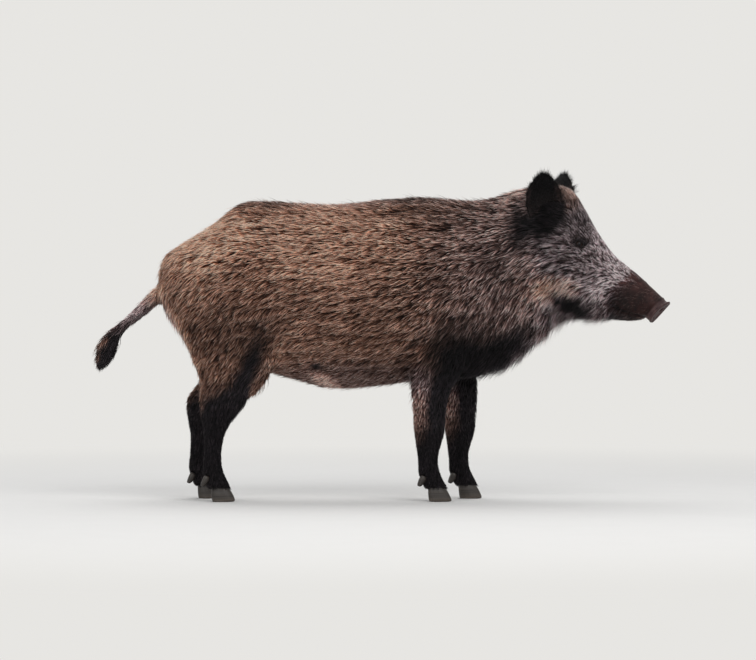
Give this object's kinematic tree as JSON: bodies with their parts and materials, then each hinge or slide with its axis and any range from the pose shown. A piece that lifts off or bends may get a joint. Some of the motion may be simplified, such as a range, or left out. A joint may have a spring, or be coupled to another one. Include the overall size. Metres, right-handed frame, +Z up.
{
  "type": "wild boar",
  "caption": "Standing wild boar, a still life-size animal model with wedge head, upright ears, deep barrel, short legs with split hooves and a tufted tail.",
  "frame": {"origin": "middle of the whole model's box in plan, on the floor under the hooves", "axes": "+X towards the nose, +Y towards the animal's left side, +Z up"},
  "size_m": [1.4564, 0.3122, 0.8414],
  "materials": {
    "brown": "coarse grizzled brown bristle coat over hide",
    "shoulder": "darker grizzled bristle coat over hide",
    "face": "short grizzled grey hair over hide",
    "muzzle": "thinly haired dark hide",
    "disc": "bare moist snout pad",
    "black": "black bristle hair over hide",
    "hoof": null,
    "eye": null
  },
  "bodies": {
    "root": {"fore_right_forearm": "black", "fore_right_cannon": "black", "fore_right_claw_inner": "hoof", "fore_right_dewclaw_inner": "hoof", "fore_right_claw_outer": "hoof", "fore_right_dewclaw_outer": "hoof", "fore_right_pastern": "black", "fore_left_forearm": "black", "fore_left_cannon": "black", "fore_left_claw_inner": "hoof", "fore_left_dewclaw_inner": "hoof", "fore_left_claw_outer": "hoof", "fore_left_dewclaw_outer": "hoof", "fore_left_pastern": "black", "hind_right_thigh": "brown", "hind_right_cannon": "black", "hind_right_claw_inner": "hoof", "hind_right_dewclaw_inner": "hoof", "hind_right_claw_outer": "hoof", "hind_right_dewclaw_outer": "hoof", "hind_right_pastern": "black", "hind_left_thigh": "brown", "hind_left_cannon": "black", "hind_left_claw_inner": "hoof", "hind_left_dewclaw_inner": "hoof", "hind_left_claw_outer": "hoof", "hind_left_dewclaw_outer": "hoof", "hind_left_pastern": "black", "eye_right": "eye", "ear_right": "black", "eye_left": "eye", "ear_left": "black", "head": "face", "lower_jaw": "face", "snout": "muzzle", "snout_disc": "disc", "neck": "shoulder", "forequarters": "shoulder", "barrel": "brown", "hindquarters": "brown", "tail_dock": "brown", "tail_tuft": "black"}
  },
  "joints": []
}
